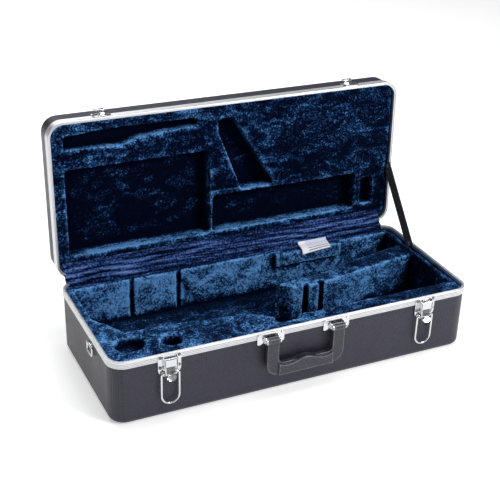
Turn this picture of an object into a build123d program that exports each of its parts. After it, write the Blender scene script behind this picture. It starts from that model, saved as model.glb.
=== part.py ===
"""Tenor saxophone case: a moulded hard shell with a hinged lid, aluminium valances, padded plush
inserts, two wire-bail latches, a swinging handle and a strap ring at each end.

Millimetres, +Z up. X runs along the case, -Y is the front with the latches, +Y the hinge side. The
origin is the centre of the resting face. The lid is modelled closed and then swung open about its
hinge, which is how the case rests here.
"""

from build123d import *
from math import cos, radians, sin
import os

os.makedirs("parts", exist_ok=True)

# Overall sizes
case_length = 820.0
case_width = 348.0
body_height = 145.0
lid_height = 64.0
corner_radius = 35.0
base_radius = 12.0
lid_top_radius = 10.0
shell_wall = 3.0
open_angle = 92.0

# Valances: aluminium channels that grip the rims of the two shells
valance_leg = 1.5
valance_inner_leg = 9.0
lower_face = 15.0
upper_face = 20.0
lower_web = 1.6
upper_web = 3.0
tongue_width = 1.6
tongue_height = 1.2
groove_clearance = 0.35
rim_gap = 0.3

# Fits
shell_fit = 0.1
soft_fit = 0.3
running_fit = 0.05

# Padded inserts
pocket_floor = 40.0
lip_radius = 4.0
lid_lip_radius = 2.5
ridge_drop = 5.0
lid_pocket_depth = 38.0
slot_pocket_depth = 24.0
end_pocket_depth = 30.0

# Hinges
hinge_offset = 4.5
hinge_margin = 140.0
hinge_length = 50.0
knuckle_radius = 3.6
knuckle_gap = 0.3
leaf_thickness = 1.2
leaf_height = 22.0
hinge_pin_radius = 1.5

# Rivets
rivet_radius = 2.0
rivet_head_radius = 3.6
rivet_head_height = 1.4
rivet_upset_radius = 2.6
rivet_upset_height = 0.7
rivet_clearance = 0.05
valance_rivet_drop = 5.5
hinge_rivet_drop = 12.0
strike_rivet_drop = 13.5

# Latches
latch_margin = 118.0
latch_width = 48.0
latch_top_drop = 1.0
latch_height = 49.0
latch_corner = 18.0
plate_thickness = 1.5
cheek_gap_half = 13.5
cheek_thickness = 1.5
cheek_length = 29.0
cheek_reach = 8.5
lever_half_width = 12.5
lever_pivot_drop = 10.0
lever_pivot_reach = 5.0
lever_pin_radius = 1.5
lever_barrel_radius = 3.0
lever_thickness = 1.5
lever_plate_length = 25.0
lever_curl_length = 20.0
lever_curl_reach = 8.0
bail_pivot_drop = 40.0
bail_pivot_reach = 4.0
bail_wire_radius = 2.25
bail_half_width = 18.5
bail_length = 73.0
bail_bend = 5.0
bail_lug_radius = 5.0

# Strike plates on the lid
strike_width = 40.0
strike_bottom = 5.0
strike_height = 27.0
hook_width = 22.0
hook_lip_height = 5.5

# Handle
handle_half_width = 88.0
arm_width = 26.0
arm_thickness = 9.0
handle_bottom = 48.0
handle_corner = 26.0
handle_pivot_drop = 16.0
handle_pivot_reach = 12.0
handle_barrel_radius = 8.0
handle_pin_radius = 2.5
grip_thickness = 18.0
grip_height = 27.0
grip_wave = 4.0
bracket_width = 60.0
bracket_height = 26.0
bracket_thickness = 2.0
bracket_ear = 2.5
bracket_ear_gap = 0.5

# Strap rings at the ends
ring_margin = 124.0
ring_wire_radius = 2.0
ring_half_width = 15.0
ring_drop = 22.0
ring_corner = 8.0
ring_pivot_drop = 22.0
ring_pivot_reach = 4.4
ring_plate_width = 20.0
ring_plate_height = 24.0

# Stay strap on the right
strap_width = 30.0
strap_thickness = 1.5
strap_body_margin = 108.0
strap_lid_margin = 139.0
strap_end = 9.0
washer_radius = 6.0
washer_thickness = 1.0

# Cloth over the hinge: the Y of its bends from the rear face, and their Z from the rim
cover_margin = 25.0
cover_thickness = 1.2
cover_glued_far = 20.0
cover_glued_near = 13.0
cover_bends = [(-8.0, 2.5), (-1.0, 6.0), (3.0, 13.5)]
cover_lid_reach = 38.0
cover_lid_hang = 18.0
cover_lid_slack = 1.5

# Sewn-in tag: bends from the rear face and the rim, then from the shelf's edge and the padding
tag_width = 78.0
tag_thickness = 0.6
tag_margin = 210.0
tag_sewn = (-9.4, 3.6)
tag_bends = [(-14.2, 2.6), (-22.0, 2.2)]
tag_droop = [(-1.5, 0.8), (-9.5, -7.0)]

# Worked-out places
half_length = case_length / 2
half_width = case_width / 2
rim_width = 2 * valance_leg + 2 * shell_fit + shell_wall
shell_inset = valance_leg + shell_fit
insert_inset = rim_width + soft_fit
insert_top = body_height - valance_inner_leg
lid_rim = body_height + rim_gap
lid_face = lid_rim + valance_inner_leg
lid_top = body_height + lid_height
rivet_height = body_height - valance_rivet_drop
hinge_rivet_low = body_height - hinge_rivet_drop
hinge_rivet_high = lid_rim + hinge_rivet_drop
hinge_y = half_width + hinge_offset
hinge_positions = (hinge_margin - half_length, 0.0, half_length - hinge_margin)
latch_positions = (latch_margin - half_length, half_length - latch_margin)
ring_position = ring_margin - half_width
ring_pivot_height = body_height - ring_pivot_drop
strap_body_y = half_width - strap_body_margin
strap_lid_y = half_width - strap_lid_margin
cover_length = case_length - 2 * cover_margin
tag_centre = half_length - tag_margin
hinge_axis = Axis((0, hinge_y, body_height), (1, 0, 0))

front = Plane(origin=(0, -half_width, 0), x_dir=(1, 0, 0), z_dir=(0, -1, 0))
rear = Plane(origin=(0, half_width, 0), x_dir=(-1, 0, 0), z_dir=(0, 1, 0))
left_end = Plane(origin=(-half_length, 0, 0), x_dir=(0, -1, 0), z_dir=(-1, 0, 0))
right_end = Plane(origin=(half_length, 0, 0), x_dir=(0, 1, 0), z_dir=(1, 0, 0))


def keep(part, name):
    """Name a finished piece and write it."""
    part.label = name
    export_step(part, f"parts/{name}.step")


def swing_open(part):
    """Carry a piece of the closed lid to the open lid."""
    return part.rotate(hinge_axis, -open_angle)


def outline(inset):
    """The case's plan outline, drawn in by an inset."""
    RectangleRounded(case_length - 2 * inset, case_width - 2 * inset, corner_radius - inset)


def plan_ring(outer, inner):
    """A ring that follows the plan outline between two insets."""
    outline(outer)
    RectangleRounded(
        case_length - 2 * inner,
        case_width - 2 * inner,
        corner_radius - inner,
        mode=Mode.SUBTRACT,
    )


def drill(plane, points, radius, depth):
    """Holes from a plane inwards, in the part being built."""
    with BuildSketch(plane) as holes:
        with Locations(*points):
            Circle(radius)
    extrude(holes.sketch, amount=-depth, mode=Mode.SUBTRACT)


def rivets(name, plane, points, seat, grip, opened=False):
    """Domed rivets whose heads sit on a seat above the plane, clenched at the depth of the grip."""
    with BuildPart() as group:
        with BuildSketch(plane.offset(seat)):
            with Locations(*points):
                Circle(rivet_head_radius)
        extrude(amount=rivet_head_height)
        crown = group.edges().group_by(Axis(plane.origin, plane.z_dir))[-1]
        fillet(crown, rivet_head_height * 0.8)
        with BuildSketch(plane.offset(seat)):
            with Locations(*points):
                Circle(rivet_radius)
        extrude(amount=-(seat + grip))
        with BuildSketch(plane.offset(-grip)):
            with Locations(*points):
                Circle(rivet_upset_radius)
        extrude(amount=-rivet_upset_height)
    keep(swing_open(group.part) if opened else group.part, name)


# Where the rivets go: X (or across) and Z on each wall
latch_rivet_across = latch_width / 2 - 4.5
latch_rivet_low = rivet_height - 23.0
handle_centre = handle_half_width - arm_width / 2
bracket_rivet_across = bracket_width / 2 - 4.5
ring_rivet_across = 6.0
ring_rivet_height = ring_pivot_height - 9.0


def latch_high_rivets(x):
    return [(x + s * latch_rivet_across, rivet_height) for s in (-1, 1)]


def latch_low_rivets(x):
    return [(x + s * latch_rivet_across, latch_rivet_low) for s in (-1, 1)]


def bracket_rivets(x):
    return [(x + s * bracket_rivet_across, rivet_height) for s in (-1, 1)]


def strike_rivets(x):
    return [(x + s * (hook_width / 2 + 4.5), lid_rim + strike_rivet_drop) for s in (-1, 1)]


def leaf_rivets(z):
    return [(x + s * hinge_length / 4, z) for x in hinge_positions for s in (-1, 1)]


high_front = sum([latch_high_rivets(x) for x in latch_positions], [])
high_front += sum([bracket_rivets(s * handle_centre) for s in (-1, 1)], [])
low_front = sum([latch_low_rivets(x) for x in latch_positions], [])
lid_front = sum([strike_rivets(x) for x in latch_positions], [])
ring_holes_left = [(-ring_position + s * ring_rivet_across, ring_rivet_height) for s in (-1, 1)]
ring_holes_right = [(ring_position + s * ring_rivet_across, ring_rivet_height) for s in (-1, 1)]
rivet_hole = rivet_radius + rivet_clearance
through = rim_width + 1.0
strap_body_z = body_height - valance_inner_leg / 2
strap_lid_z = lid_rim + valance_inner_leg / 2
shell_depth = shell_inset + shell_wall

# Bottom shell: one deep moulded tray
with BuildPart() as bottom_shell:
    with BuildSketch():
        outline(shell_inset)
    extrude(amount=body_height - lower_web - shell_fit)
    with BuildSketch(Plane.XY.offset(shell_wall)):
        outline(shell_inset + shell_wall)
    extrude(amount=body_height, mode=Mode.SUBTRACT)
    fillet(bottom_shell.edges().filter_by_position(Axis.Z, -0.01, 0.01), base_radius)
    inner_edge = bottom_shell.edges().filter_by_position(Axis.Z, shell_wall - 0.01, shell_wall + 0.01)
    fillet(inner_edge, base_radius - shell_wall)
    drill(front, high_front + low_front, rivet_hole, through)
    drill(rear, leaf_rivets(hinge_rivet_low), rivet_hole, through)
    drill(left_end, ring_holes_left, rivet_hole, through)
    drill(right_end, ring_holes_right, rivet_hole, through)
    drill(right_end, [(strap_body_y, strap_body_z)], rivet_hole, through)
keep(bottom_shell.part, "bottom_shell")

# Lower valance: outer face, rim, inner leg and the tongue that locates the lid
tongue_inset = (rim_width - tongue_width) / 2
with BuildPart() as lower_valance:
    with BuildSketch(Plane.XY.offset(body_height - lower_face)):
        plan_ring(0, valance_leg)
    extrude(amount=lower_face)
    with BuildSketch(Plane.XY.offset(body_height - lower_web)):
        plan_ring(0, rim_width)
    extrude(amount=lower_web)
    with BuildSketch(Plane.XY.offset(insert_top)):
        plan_ring(rim_width - valance_leg, rim_width)
    extrude(amount=valance_inner_leg)
    with BuildSketch(Plane.XY.offset(body_height)):
        plan_ring(tongue_inset, tongue_inset + tongue_width)
    extrude(amount=tongue_height)
    drill(front, high_front, rivet_hole, through)
    drill(rear, leaf_rivets(hinge_rivet_low), rivet_hole, through)
    drill(right_end, [(strap_body_y, strap_body_z)], rivet_hole, through)
keep(lower_valance.part, "lower_valance")

# Lid shell: the shallow tray of the lid
with BuildPart() as lid_shell:
    with BuildSketch(Plane.XY.offset(lid_rim + upper_web + shell_fit)):
        outline(shell_inset)
    extrude(amount=lid_top - lid_rim - upper_web - shell_fit)
    with BuildSketch(Plane.XY.offset(lid_rim)):
        outline(shell_inset + shell_wall)
    extrude(amount=lid_top - shell_wall - lid_rim, mode=Mode.SUBTRACT)
    fillet(lid_shell.edges().filter_by_position(Axis.Z, lid_top - 0.01, lid_top + 0.01), lid_top_radius)
    lid_ceiling = lid_top - shell_wall
    inner_edge = lid_shell.edges().filter_by_position(Axis.Z, lid_ceiling - 0.01, lid_ceiling + 0.01)
    fillet(inner_edge, lid_top_radius - shell_wall)
    drill(front, lid_front, rivet_hole, through)
    drill(rear, leaf_rivets(hinge_rivet_high), rivet_hole, through)
    drill(right_end, [(strap_lid_y, strap_lid_z)], rivet_hole, through)
keep(swing_open(lid_shell.part), "lid_shell")

# Upper valance: the lid's channel, with the groove for the tongue
groove_inset = tongue_inset - groove_clearance
groove_width = tongue_width + 2 * groove_clearance
with BuildPart() as upper_valance:
    with BuildSketch(Plane.XY.offset(lid_rim)):
        plan_ring(0, valance_leg)
    extrude(amount=upper_face)
    with BuildSketch(Plane.XY.offset(lid_rim)):
        plan_ring(0, rim_width)
    extrude(amount=upper_web)
    with BuildSketch(Plane.XY.offset(lid_rim)):
        plan_ring(rim_width - valance_leg, rim_width)
    extrude(amount=valance_inner_leg)
    with BuildSketch(Plane.XY.offset(lid_rim)):
        plan_ring(groove_inset, groove_inset + groove_width)
    extrude(amount=tongue_height + rim_gap, mode=Mode.SUBTRACT)
    drill(front, lid_front, rivet_hole, through)
    drill(rear, leaf_rivets(hinge_rivet_high), rivet_hole, through)
    drill(right_end, [(strap_lid_y, strap_lid_z)], rivet_hole, through)
keep(swing_open(upper_valance.part), "upper_valance")

# Pockets in plan, drawn about the case's middle
main_plan = [
    (-385.0, 150.0),
    (-385.0, 25.0),
    (-340.0, -48.0),
    (-200.0, -60.0),
    (-75.0, -80.0),
    (-36.0, -108.0),
    (-36.0, -133.0),
    (18.0, -133.0),
    (18.0, -118.0),
    (390.0, -118.0),
    (390.0, 150.0),
]
ridge_rear_plan = [(30.0, 22.0), (155.0, 34.0), (235.0, 58.0)]
ridge_front_plan = [(352.0, 30.0), (120.0, -12.0), (62.0, -4.0)]
flute_plan = [(-255.0, 150.0), (-145.0, 150.0)]
notch_plan = [(93.0, -7.0), (130.0, -7.0)]
shelf_plan = [(90.0, 150.0), (262.0, 150.0), (262.0, 138.0), (90.0, 138.0)]
scoop_plan = [(-347.0, -98.0), (-264.0, -113.0)]
big_box_plan = [(-377.0, -66.0), (-52.0, 128.0)]
long_box_plan = [(-46.0, 42.0), (318.0, 128.0)]
end_box_plan = [(334.0, 56.0), (366.0, 122.0)]
diagonal_plan = [
    (-32.0, -132.0),
    (3.0, -136.0),
    (103.0, 28.0),
    (98.0, 35.0),
    (24.0, 35.0),
    (-30.0, -100.0),
]
slot_plan = [
    (-376.0, -138.0),
    (-240.0, -146.0),
    (-80.0, -143.0),
    (-80.0, -128.0),
    (-212.0, -120.0),
    (-250.0, -108.0),
    (-376.0, -110.0),
]

# Other sizes of the pockets
end_wall = 20.0
rear_wall = 24.0
main_corner = 6.0
ridge_end_front = 32.3
ridge_end_rear = 23.3
flute_width = 9.0
flute_land = 0.5
flute_depth = rear_wall - insert_inset - 2 * lip_radius - flute_land
notch_width = 12.0
notch_length = 22.0
shelf_height = 34.0
scoop_half = [(30.0, 27.0), (21.0, 21.0)]
scoop_depth = [20.0, 40.0]
box_corner = 8.0
diagonal_corner = 3.0
slot_end_flat = 1.0
relief_width = strap_width + 30.0
relief_depth = strap_thickness + 2 * soft_fit + washer_thickness + rivet_upset_height + 0.5
relief_height = 16.0


def follow(plan):
    """A plan's points, carried out until the main pocket stands its walls' thickness from the edges."""
    reach_x = (half_length - end_wall) / max(x for x, y in main_plan)
    reach_y = (half_width - rear_wall) / max(y for x, y in main_plan)
    return [(x * reach_x, y * reach_y) for x, y in plan]


main_outline = follow(main_plan)
ridge_end = half_length - end_wall
ridge_outline = follow(ridge_rear_plan)
ridge_outline += [(ridge_end, strap_body_y + ridge_end_rear), (ridge_end, strap_body_y - ridge_end_front)]
ridge_outline += follow(ridge_front_plan)
shelf_outline = follow(shelf_plan)
shelf_front = shelf_outline[-1][1]
slot_outline = follow(slot_plan)
slot_corner = (slot_outline[3][1] - slot_outline[2][1] - slot_end_flat) / 2


def lip_edges(builder, height):
    """The edges of the pockets at a height, without those along the insert's outer edge."""
    edge_x = half_length - insert_inset - relief_depth - 1.0
    edge_y = half_width - insert_inset - 1.0
    at_height = builder.edges().filter_by_position(Axis.Z, height - 0.01, height + 0.01)
    inside = at_height.filter_by_position(Axis.X, -edge_x, edge_x)
    return inside.filter_by_position(Axis.Y, -edge_y, edge_y)


# Body insert: foam block covered in plush, moulded round the instrument
with BuildPart() as lower_insert:
    with BuildSketch(Plane.XY.offset(shell_wall + soft_fit)):
        outline(insert_inset)
    extrude(amount=insert_top - shell_wall - soft_fit)
    fillet(lower_insert.edges().group_by(Axis.Z)[0], base_radius - shell_wall)
    with BuildSketch(Plane.XY.offset(insert_top)) as pocket_sketch:
        with BuildLine():
            Polyline(*main_outline, close=True)
        make_face()
        fillet(pocket_sketch.vertices(), main_corner)
        with BuildLine():
            Polyline(*ridge_outline, close=True)
        make_face(mode=Mode.SUBTRACT)
        with Locations(*follow(flute_plan)):
            Rectangle(flute_width, 2 * flute_depth)
        with Locations(*follow(notch_plan)):
            Rectangle(notch_width, notch_length)
    extrude(amount=-(insert_top - pocket_floor), mode=Mode.SUBTRACT)
    with BuildSketch(Plane.XY.offset(insert_top)):
        with BuildLine():
            Polyline(*shelf_outline, close=True)
        make_face()
    extrude(amount=-shelf_height)
    with BuildSketch(Plane.XY.offset(insert_top)):
        with BuildLine():
            Polyline(*ridge_outline, close=True)
        make_face()
    extrude(amount=-ridge_drop, mode=Mode.SUBTRACT)
    for place, half, depth in zip(follow(scoop_plan), scoop_half, scoop_depth):
        with BuildSketch(Plane.XY.offset(insert_top)):
            with Locations(place):
                Ellipse(*half)
        extrude(amount=-depth, mode=Mode.SUBTRACT)
    with BuildSketch(Plane.XY.offset(insert_top)):
        with Locations((half_length - insert_inset, strap_body_y)):
            Rectangle(2 * relief_depth, relief_width)
    extrude(amount=-relief_height, mode=Mode.SUBTRACT)
    fillet(lip_edges(lower_insert, insert_top), lip_radius)
keep(lower_insert.part, "lower_insert")

def box_sketch(plan):
    """A compartment's plan, from its low and high corners."""
    low, high = follow(plan)
    with Locations(((low[0] + high[0]) / 2, (low[1] + high[1]) / 2)):
        RectangleRounded(high[0] - low[0], high[1] - low[1], box_corner)


# Lid insert: the same make, with its compartments
lid_insert_back = lid_top - shell_wall - soft_fit
with BuildPart() as lid_insert:
    with BuildSketch(Plane.XY.offset(lid_face)):
        outline(insert_inset)
    extrude(amount=lid_insert_back - lid_face)
    fillet(lid_insert.edges().group_by(Axis.Z)[-1], lid_top_radius - shell_wall)
    with BuildSketch(Plane.XY.offset(lid_face)):
        box_sketch(big_box_plan)
        box_sketch(long_box_plan)
    extrude(amount=lid_pocket_depth, mode=Mode.SUBTRACT)
    with BuildSketch(Plane.XY.offset(lid_face)):
        box_sketch(end_box_plan)
    extrude(amount=end_pocket_depth, mode=Mode.SUBTRACT)
    with BuildSketch(Plane.XY.offset(lid_face)) as diagonal_sketch:
        with BuildLine():
            Polyline(*follow(diagonal_plan), close=True)
        make_face()
        fillet(diagonal_sketch.vertices(), diagonal_corner)
    extrude(amount=lid_pocket_depth, mode=Mode.SUBTRACT)
    with BuildSketch(Plane.XY.offset(lid_face)) as slot_sketch:
        with BuildLine():
            Polyline(*slot_outline, close=True)
        make_face()
        fillet(slot_sketch.vertices(), slot_corner)
    extrude(amount=slot_pocket_depth, mode=Mode.SUBTRACT)
    with BuildSketch(Plane.XY.offset(lid_face)):
        with Locations((half_length - insert_inset, strap_lid_y)):
            Rectangle(2 * relief_depth, relief_width)
    extrude(amount=relief_height, mode=Mode.SUBTRACT)
    fillet(lip_edges(lid_insert, lid_face), lid_lip_radius)
keep(swing_open(lid_insert.part), "lid_insert")


def opened_point(y, z):
    """Where a point of the closed lid lies with the lid open, as Y and Z."""
    a = radians(open_angle)
    dy = y - hinge_y
    dz = z - body_height
    return hinge_y + dy * cos(a) + dz * sin(a), body_height - dy * sin(a) + dz * cos(a)


# Hinge cover: plush cloth glued to both inserts, hanging across the hinge in lengthwise folds
cover_lid_y, cover_lid_z = opened_point(hinge_y - cover_lid_reach, lid_face)
cover_stand = cover_thickness / 2 + soft_fit
cover_foot = insert_top + cover_stand
cover_profile = [(half_width - cover_glued_far, cover_foot), (half_width - cover_glued_near, cover_foot)]
cover_profile += [(half_width + y, body_height + z) for y, z in cover_bends]
cover_profile += [
    (cover_lid_y - cover_stand - cover_lid_slack, cover_lid_z - cover_lid_hang),
    (cover_lid_y - cover_stand, cover_lid_z),
]
with BuildPart() as hinge_cover:
    with BuildSketch(Plane.YZ.offset(-cover_length / 2)):
        with BuildLine():
            FilletPolyline(*cover_profile, radius=2.5)
        trace(line_width=cover_thickness)
    extrude(amount=cover_length)
keep(hinge_cover.part, "hinge_cover")

# Stay strap: flat webbing from the body's rim to the lid's rim, riveted through a washer at each end
strap_lid_open = opened_point(strap_lid_y, strap_lid_z)
strap_run = (Vector(*strap_lid_open) - Vector(strap_body_y, strap_body_z))
strap_plane = Plane(
    origin=(half_length - rim_width - soft_fit, strap_body_y, strap_body_z),
    x_dir=(0, strap_run.X, strap_run.Y),
    z_dir=(-1, 0, 0),
)
with BuildPart() as stay_strap:
    with BuildSketch(strap_plane):
        with Locations((strap_run.length / 2, 0)):
            RectangleRounded(strap_run.length + 2 * strap_end, strap_width, 4)
        with Locations((0, 0), (strap_run.length, 0)):
            Circle(rivet_hole, mode=Mode.SUBTRACT)
    extrude(amount=strap_thickness)
keep(stay_strap.part, "stay_strap")


def strap_fixing(name, y, z, opened):
    """The washer and the rivet that hold one end of the stay strap to a valance."""
    inner = half_length - rim_width - 2 * soft_fit - strap_thickness
    seat = Plane(origin=(inner, y, z), x_dir=(0, 1, 0), z_dir=(-1, 0, 0))
    with BuildPart() as washer:
        with BuildSketch(seat):
            Circle(washer_radius)
            Circle(rivet_hole, mode=Mode.SUBTRACT)
        extrude(amount=washer_thickness)
    with BuildPart() as rivet:
        with BuildSketch(seat.offset(washer_thickness)):
            Circle(rivet_head_radius)
        extrude(amount=rivet_upset_height)
        with BuildSketch(seat.offset(washer_thickness)):
            Circle(rivet_radius)
        extrude(amount=inner - half_length + shell_inset - washer_thickness)
    keep(swing_open(washer.part) if opened else washer.part, f"strap_washer_{name}")
    keep(swing_open(rivet.part) if opened else rivet.part, f"strap_rivet_{name}")


strap_fixing("lower", strap_body_y, strap_body_z, False)
strap_fixing("upper", strap_lid_y, strap_lid_z, True)

# Tag: a folded slip sewn to the hinge cover, drooping over the edge of the padding
tag_profile = [(half_width + tag_sewn[0], body_height + tag_sewn[1])]
tag_profile += [(half_width + y, insert_top + z) for y, z in tag_bends]
tag_profile += [(shelf_front + y, insert_top + z) for y, z in tag_droop]
with BuildPart() as folded_tag:
    with BuildSketch(Plane.YZ.offset(tag_centre - tag_width / 2)):
        with BuildLine():
            FilletPolyline(*tag_profile, radius=2.5)
        trace(line_width=tag_thickness)
    extrude(amount=tag_width)
keep(folded_tag.part, "folded_tag")


# Rear hinges: two leaves and a pin each, five knuckles, the odd ones on the body
knuckle_pitch = hinge_length / 5


def knuckle_span(x, index):
    """The middle and the length of one knuckle along X."""
    return x - hinge_length / 2 + knuckle_pitch * (index + 0.5), knuckle_pitch - knuckle_gap


def hinge_leaf(x, indices, low, high, rivet_z):
    """One leaf: a plate on the valance, and its knuckles round the pin."""
    mirror_side = 1 if high > body_height + leaf_height / 2 else -1
    with BuildPart() as leaf:
        with BuildSketch(rear):
            with Locations((-x, (low + high) / 2)):
                RectangleRounded(hinge_length, high - low, 3)
        extrude(amount=leaf_thickness)
        for index in indices:
            middle, length = knuckle_span(x, index)
            with BuildSketch(Plane.YZ.offset(middle - length / 2)):
                with Locations((hinge_y, body_height)):
                    Circle(knuckle_radius)
                edge = body_height + mirror_side * (knuckle_radius + 1.5)
                with Locations(((half_width + hinge_y) / 2, (body_height + edge) / 2)):
                    Rectangle(hinge_offset, abs(edge - body_height))
                with Locations((half_width + leaf_thickness + 10, edge)):
                    Rectangle(20, 3.0, mode=Mode.SUBTRACT)
            extrude(amount=length)
        with BuildSketch(Plane.YZ.offset(x - hinge_length / 2)):
            with Locations((hinge_y, body_height)):
                Circle(hinge_pin_radius + running_fit)
        extrude(amount=hinge_length, mode=Mode.SUBTRACT)
        drill(
            rear.offset(leaf_thickness + 1),
            [(-(x + s * hinge_length / 4), rivet_z) for s in (-1, 1)],
            rivet_hole,
            2 * leaf_thickness + 2,
        )
    return leaf.part


for x, side in zip(hinge_positions, ("left", "centre", "right")):
    leaf_edge = knuckle_radius + 0.6
    lower = hinge_leaf(
        x, (0, 2, 4), body_height - leaf_height, body_height - leaf_edge, hinge_rivet_low
    )
    keep(lower, f"hinge_leaf_lower_{side}")
    upper = hinge_leaf(
        x, (1, 3), body_height + leaf_edge, body_height + leaf_height, hinge_rivet_high
    )
    keep(swing_open(upper), f"hinge_leaf_upper_{side}")
    with BuildPart() as hinge_pin:
        with BuildSketch(Plane.YZ.offset(x - hinge_length / 2)):
            with Locations((hinge_y, body_height)):
                Circle(hinge_pin_radius)
        extrude(amount=hinge_length)
    keep(hinge_pin.part, f"hinge_pin_{side}")

rivets("hinge_rivets_lower", rear, leaf_rivets(hinge_rivet_low), leaf_thickness, shell_depth)
rivets("hinge_rivets_upper", rear, leaf_rivets(hinge_rivet_high), leaf_thickness, shell_depth, True)


# Latches: base plate with cheeks, a lever that hangs flat, and a wire bail that hooks on the lid
plate_face = plate_thickness
lever_pivot = (lever_pivot_reach + plate_face, body_height - lever_pivot_drop)
bail_pivot = (bail_pivot_reach + plate_face, body_height - bail_pivot_drop)
latch_top = body_height - latch_top_drop


def side_plane(x):
    """A plane across the case at X, with its first axis pointing out of the front wall."""
    return Plane(origin=(x, -half_width, 0), x_dir=(0, -1, 0), z_dir=(-1, 0, 0))


def latch_base(x):
    """A riveted plate, with two cheeks that carry the lever's pin."""
    with BuildPart() as base:
        with BuildSketch(front) as plate:
            with Locations((x, latch_top - latch_height / 2)):
                Rectangle(latch_width, latch_height)
            fillet(plate.vertices().group_by(Axis.Y)[0], latch_corner)
            fillet(plate.vertices().group_by(Axis.Y)[-1], 3)
        extrude(amount=plate_thickness)
        for s in (-1, 1):
            outer = x + s * (cheek_gap_half + cheek_thickness)
            with BuildSketch(side_plane(max(outer, x + s * cheek_gap_half))) as cheek:
                with Locations((cheek_reach / 2 + plate_face - 0.5, latch_top - 3 - cheek_length / 2)):
                    RectangleRounded(cheek_reach + 1.0, cheek_length, 3.5)
                with Locations(lever_pivot):
                    Circle(lever_pin_radius + running_fit, mode=Mode.SUBTRACT)
                with Locations((-10, latch_top - cheek_length / 2)):
                    Rectangle(20 + 2 * plate_face - 0.2, 4 * cheek_length, mode=Mode.SUBTRACT)
            extrude(amount=cheek_thickness)
        drill(front.offset(5), latch_high_rivets(x) + latch_low_rivets(x), rivet_hole, 10)
    return base.part


def latch_lever(x):
    """A pressed plate on a rolled barrel, curled out at its tip, with a lug each side for the bail."""
    reach, height = lever_pivot
    plate_reach = reach + lever_barrel_radius - lever_thickness / 2
    with BuildPart() as lever:
        with BuildSketch(side_plane(x + lever_half_width)):
            with BuildLine():
                FilletPolyline(
                    (plate_reach, height),
                    (plate_reach, height - lever_plate_length),
                    (plate_reach - 1.5, height - lever_plate_length - 7),
                    (plate_reach + lever_curl_reach, height - lever_plate_length - lever_curl_length),
                    radius=4,
                )
            trace(line_width=lever_thickness)
            with Locations(lever_pivot):
                Circle(lever_barrel_radius)
        extrude(amount=2 * lever_half_width)
        with BuildSketch(front.offset(reach - 5)):
            with Locations((x, height - lever_plate_length - lever_curl_length / 2 - 3)):
                Rectangle(4 * lever_half_width, lever_curl_length + 14)
            with Locations((x, height - lever_plate_length - lever_curl_length + lever_half_width - 1)):
                Circle(lever_half_width, mode=Mode.SUBTRACT)
            with Locations((x, height - lever_plate_length)):
                Rectangle(2 * lever_half_width, 2 * lever_curl_length - 16, mode=Mode.SUBTRACT)
        extrude(amount=30, mode=Mode.SUBTRACT)
        for s in (-1, 1):
            start = x + max(s * lever_half_width, s * (lever_half_width - lever_thickness))
            with BuildSketch(side_plane(start)):
                with Locations(bail_pivot):
                    Circle(bail_lug_radius)
                low = bail_pivot[1] - 2.0
                high = height - lever_barrel_radius - 8
                with Locations((plate_reach - 1.2, (low + high) / 2)):
                    Rectangle(3.0, high - low)
                with Locations((-20 + plate_face + soft_fit, height)):
                    Rectangle(40, 200, mode=Mode.SUBTRACT)
            extrude(amount=lever_thickness)
        with BuildSketch(side_plane(x + lever_half_width)):
            with Locations(lever_pivot):
                Circle(lever_pin_radius + running_fit)
            with Locations(bail_pivot):
                Circle(bail_wire_radius + running_fit)
        extrude(amount=2 * lever_half_width, mode=Mode.SUBTRACT)
    return lever.part


def latch_bail(x):
    """A wire loop with its two ends turned in through the lever's lugs."""
    reach, height = bail_pivot
    leg = bail_length - bail_wire_radius - bail_half_width - bail_bend
    bail_plane = Plane(origin=(x, -half_width - reach, height), x_dir=(1, 0, 0), z_dir=(0, -1, 0))
    with BuildPart() as bail:
        with BuildLine(bail_plane) as path:
            pin = Line((-lever_half_width + 2 * lever_thickness, 0), (-bail_half_width + bail_bend, 0))
            turn = JernArc(pin @ 1, pin % 1, bail_bend, 90)
            down = Line(turn @ 1, (-bail_half_width, -bail_bend - leg))
            bow = JernArc(down @ 1, down % 1, bail_half_width, 180)
            rise = Line(bow @ 1, (bail_half_width, -bail_bend))
            back = JernArc(rise @ 1, rise % 1, bail_bend, 90)
            Line(back @ 1, (lever_half_width - 2 * lever_thickness, 0))
        with BuildSketch(Plane(origin=pin @ 0, z_dir=pin % 0)):
            Circle(bail_wire_radius)
        sweep()
    return bail.part


def strike_plate(x):
    """The lid's half of the latch: a riveted plate with an upturned hook for the bail."""
    wire_top = body_height - bail_pivot_drop + bail_length - 2 * bail_wire_radius
    low = lid_rim + strike_bottom
    lip = plate_face + 2 * bail_wire_radius + 1.2
    with BuildPart() as strike:
        with BuildSketch(front):
            with Locations((x, low + strike_height / 2)):
                RectangleRounded(strike_width, strike_height, 4)
        extrude(amount=plate_thickness)
        with BuildSketch(side_plane(x + hook_width / 2)):
            with BuildLine():
                FilletPolyline(
                    (plate_face / 2, wire_top - plate_thickness / 2 - 6),
                    (plate_face / 2, wire_top - plate_thickness / 2),
                    (lip + plate_thickness / 2, wire_top - plate_thickness / 2),
                    (lip + plate_thickness / 2, wire_top + hook_lip_height),
                    radius=1.2,
                )
            trace(line_width=plate_thickness)
        extrude(amount=hook_width)
        drill(front.offset(5), strike_rivets(x), rivet_hole, 10)
    return strike.part


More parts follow.
